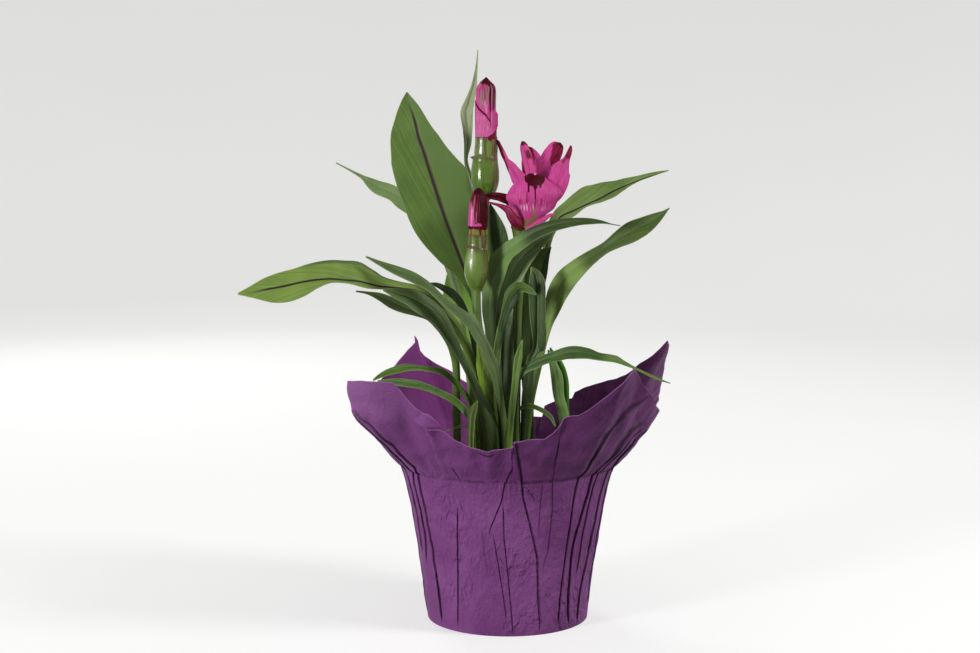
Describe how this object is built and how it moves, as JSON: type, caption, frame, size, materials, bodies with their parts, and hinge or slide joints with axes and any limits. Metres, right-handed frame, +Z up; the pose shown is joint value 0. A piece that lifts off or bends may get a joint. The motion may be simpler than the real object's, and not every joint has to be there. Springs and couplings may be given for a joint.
{
  "type": "potted siam tulip",
  "caption": "Siam tulip with pink bracts and lance-shaped green leaves in a pleated purple paper pot cover.",
  "frame": {"origin": "centre of the paper cover's round flat bottom, where the plant stands", "axes": "+Z up; -Y towards the viewer of the picture, so +X is to the viewer's right"},
  "size_m": [0.3033, 0.2104, 0.4011],
  "materials": {
    "paper": "matte",
    "pot_plastic": "matte",
    "soil": "matte",
    "leaf": "satin",
    "young_leaf": "satin",
    "stalk": "satin",
    "bract": "satin"
  },
  "bodies": {
    "root": {"bracts_low_bud": "bract", "bracts_open_bloom": "bract", "bracts_tall_bud": "bract", "leaf_arch_back": "leaf", "leaf_arch_centre": "leaf", "leaf_behind_bloom": "leaf", "leaf_broad_left": "leaf", "leaf_curled": "leaf", "leaf_dark_left": "leaf", "leaf_dark_right": "leaf", "leaf_far_left": "leaf", "leaf_folded": "leaf", "leaf_low_arch": "leaf", "leaf_low_left_a": "leaf", "leaf_low_left_b": "leaf", "leaf_low_right": "young_leaf", "leaf_narrow_top": "leaf", "leaf_over_stem": "leaf", "leaf_pale_back": "leaf", "leaf_right_arch": "leaf", "leaf_right_long": "leaf", "leaf_right_upper": "leaf", "leaf_tall_left": "leaf", "leaf_thin": "young_leaf", "leaf_under_left": "leaf", "leaf_young_yellow": "young_leaf", "nursery_pot": "pot_plastic", "paper_cover": "paper", "sheath_front_left": "young_leaf", "shoot_right": "young_leaf", "shoot_young": "young_leaf", "soil": "soil", "stalk_bloom": "stalk", "stalk_low_bud": "stalk", "stalk_tall_bud": "stalk"}
  },
  "joints": []
}
